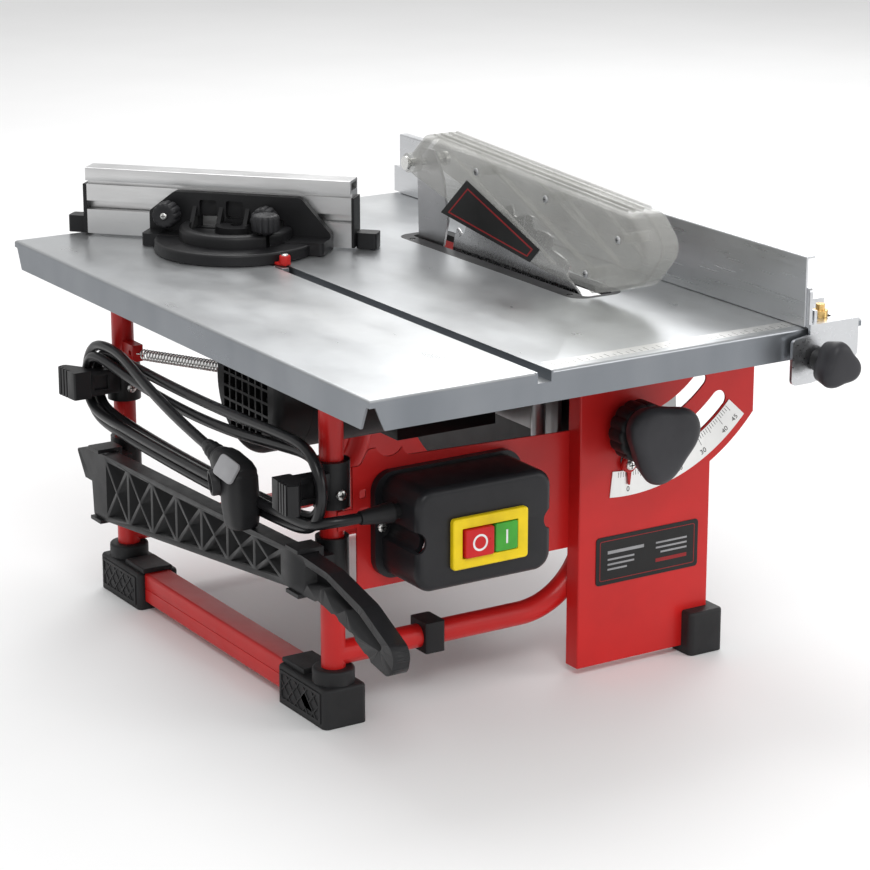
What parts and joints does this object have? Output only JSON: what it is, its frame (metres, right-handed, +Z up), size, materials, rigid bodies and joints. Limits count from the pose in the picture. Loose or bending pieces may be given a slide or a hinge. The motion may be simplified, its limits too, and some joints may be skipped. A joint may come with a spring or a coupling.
{
  "type": "benchtop table saw",
  "caption": "Benchtop table saw: folded steel table on a tube frame, tilting and rising motor and blade, blade guard, rip fence, mitre gauge, push stick and wound power cord",
  "frame": {"origin": "on the floor under the centre of the saw's own bounding box, the cord left out", "axes": "+X to the operator's right along the table's short side, +Y from the operator to the rear along the cut, +Z up"},
  "size_m": [0.381, 0.5516, 0.3322],
  "materials": {
    "table_steel": "satin",
    "insert_black": "satin",
    "black_plastic": "matte",
    "red_paint": "satin",
    "scale_plate": "satin",
    "bezel_yellow": "satin",
    "plug_rubber": "satin",
    "screw_zinc": "satin",
    "spring_zinc": "satin",
    "cord_rubber": "satin",
    "cradle_zinc": "satin",
    "plain_steel": "satin",
    "pointer_red": "satin",
    "stator_iron": "matte",
    "knife_steel": "satin",
    "blade_steel": "satin",
    "guard_clear": "gloss",
    "fence_aluminium": "satin",
    "mitre_aluminium": "satin",
    "button_red": "satin",
    "button_green": "satin"
  },
  "bodies": {
    "frame": {"table_top": "table_steel", "table_insert": "insert_black", "front_cross_rail": "black_plastic", "front_tube_frame": "red_paint", "rear_tube_frame": "red_paint", "left_sill": "red_paint", "left_feet": "black_plastic", "front_panel": "red_paint", "rear_panel": "red_paint", "right_feet": "black_plastic", "angle_scale": "scale_plate", "tube_clip": "black_plastic", "front_cord_hook": "black_plastic", "rear_cord_hook": "black_plastic", "push_stick_clips": "black_plastic", "switch_panel": "red_paint", "switch_box": "black_plastic", "switch_bezel": "bezel_yellow", "cord_strain_relief": "plug_rubber", "frame_screws": "screw_zinc", "counter_spring": "spring_zinc", "power_cord_lead": "cord_rubber", "power_cord_hank": "cord_rubber", "mains_plug": "plug_rubber"},
    "tilt_cradle": {"front_trunnion": "cradle_zinc", "rear_trunnion": "cradle_zinc", "cradle_rails": "plain_steel", "guide_rods": "plain_steel", "tilt_pointer": "pointer_red"},
    "tilt_lock": {"tilt_lock_wheel": "black_plastic"},
    "crank": {"height_knob": "black_plastic", "crank_shaft": "plain_steel"},
    "screw": {"lift_screw": "plain_steel"},
    "carriage": {"motor_bracket": "cradle_zinc", "motor_housing": "black_plastic", "fan_cover": "black_plastic", "stator_core": "stator_iron", "motor_bearings": "plain_steel", "blade_housing": "black_plastic", "riving_knife": "knife_steel"},
    "arbor": {"rotor_shaft": "plain_steel", "cooling_fan": "black_plastic", "saw_blade": "blade_steel", "blade_clamp": "plain_steel"},
    "guard_bolt": {"guard_pivot_bolt": "screw_zinc"},
    "guard": {"guard_left": "guard_clear", "guard_right": "guard_clear"},
    "fence": {"fence_plate": "fence_aluminium", "fence_carrier": "fence_aluminium"},
    "fence_clamp": {"fence_knob": "black_plastic"},
    "mitre_runner": {"mitre_bar": "plain_steel"},
    "mitre_protractor": {"mitre_head": "black_plastic"},
    "mitre_fence": {"mitre_extrusion": "mitre_aluminium", "mitre_end_caps": "black_plastic"},
    "mitre_left_nut": {"mitre_knob_left": "black_plastic"},
    "mitre_right_nut": {"mitre_knob_right": "black_plastic"},
    "mitre_lock": {"mitre_lock_knob": "black_plastic"},
    "stop_button": {"stop_button": "button_red"},
    "start_button": {"start_button": "button_green"},
    "push_stick": {"push_stick": "black_plastic"}
  },
  "joints": [
    {"name": "blade_tilt", "type": "hinge", "parent": "frame", "child": "tilt_cradle", "pos_m": [0.07391, -0.14182, 0.253], "axis": [0, -1, 0], "range_deg": [0, 45]},
    {"name": "tilt_lock_turn", "type": "hinge", "parent": "tilt_cradle", "child": "tilt_lock", "pos_m": [0.07391, -0.15582, 0.17], "axis": [0, 1, 0], "range_deg": [0, 90]},
    {"name": "blade_lift", "type": "slide", "parent": "tilt_cradle", "child": "carriage", "axis": [0, 0, 1], "range_m": [-0.042, 0]},
    {"name": "height_crank", "type": "hinge", "parent": "tilt_cradle", "child": "crank", "pos_m": [0.07391, -0.18082, 0.17], "axis": [0, 1, 0], "continuous": true},
    {"name": "lift_screw_turn", "type": "hinge", "parent": "tilt_cradle", "child": "screw", "pos_m": [0.07391, -0.12432, 0.19], "axis": [0, 0, 1], "continuous": true},
    {"name": "blade_spin", "type": "hinge", "parent": "carriage", "child": "arbor", "pos_m": [0.07391, -0.00282, 0.195], "axis": [1, 0, 0], "continuous": true},
    {"name": "guard_ride", "type": "hinge", "parent": "carriage", "child": "guard_bolt", "pos_m": [0.07391, 0.11318, 0.307], "axis": [-1, 0, 0], "range_deg": [0, 12]},
    {"name": "guard_swing", "type": "hinge", "parent": "guard_bolt", "child": "guard", "pos_m": [0.07391, 0.11318, 0.307], "axis": [-1, 0, 0], "range_deg": [0, 60]},
    {"name": "fence_slide", "type": "slide", "parent": "frame", "child": "fence", "axis": [1, 0, 0], "range_m": [-0.04, 0.012]},
    {"name": "fence_lock", "type": "hinge", "parent": "fence", "child": "fence_clamp", "pos_m": [0.14791, -0.26082, 0.23], "axis": [0, 1, 0], "range_deg": [0, 90]},
    {"name": "mitre_slide", "type": "slide", "parent": "frame", "child": "mitre_runner", "axis": [0, 1, 0], "range_m": [-0.28, 0.05]},
    {"name": "mitre_swivel", "type": "hinge", "parent": "mitre_runner", "child": "mitre_protractor", "pos_m": [-0.06008, 0.15418, 0.25], "axis": [0, 0, 1], "range_deg": [-13, 106]},
    {"name": "mitre_fence_shift", "type": "slide", "parent": "mitre_protractor", "child": "mitre_fence", "axis": [0.6845, -0.729, 0], "range_m": [-0.03, 0]},
    {"name": "mitre_left_nut_turn", "type": "hinge", "parent": "mitre_protractor", "child": "mitre_left_nut", "pos_m": [-0.09568, 0.19209, 0.2725], "axis": [0.729, 0.6845, 0], "range_deg": [0, 90]},
    {"name": "mitre_right_nut_turn", "type": "hinge", "parent": "mitre_protractor", "child": "mitre_right_nut", "pos_m": [-0.04503, 0.13815, 0.2725], "axis": [0.729, 0.6845, 0], "range_deg": [0, 90]},
    {"name": "mitre_lock_turn", "type": "hinge", "parent": "mitre_protractor", "child": "mitre_lock", "pos_m": [-0.05704, 0.11589, 0.27], "axis": [0, 0, 1], "range_deg": [0, 90]},
    {"name": "stop_press", "type": "slide", "parent": "frame", "child": "stop_button", "axis": [0, 1, 0], "range_m": [0, 0.0025], "stiffness_N_per_m": 400, "springref_m": -0.001},
    {"name": "start_press", "type": "slide", "parent": "frame", "child": "start_button", "axis": [0, 1, 0], "range_m": [0, 0.0025], "stiffness_N_per_m": 400, "springref_m": -0.001},
    {"name": "push_stick_out", "type": "slide", "parent": "frame", "child": "push_stick", "axis": [-1, 0, 0], "range_m": [0, 0.05]}
  ],
  "couplings": [
    {"joint": "guard_ride", "follows": "blade_lift", "rad_per_m": -4.9},
    {"joint": "height_crank", "follows": "blade_lift", "rad_per_m": 2094.4},
    {"joint": "lift_screw_turn", "follows": "blade_lift", "rad_per_m": -2094.4}
  ]
}
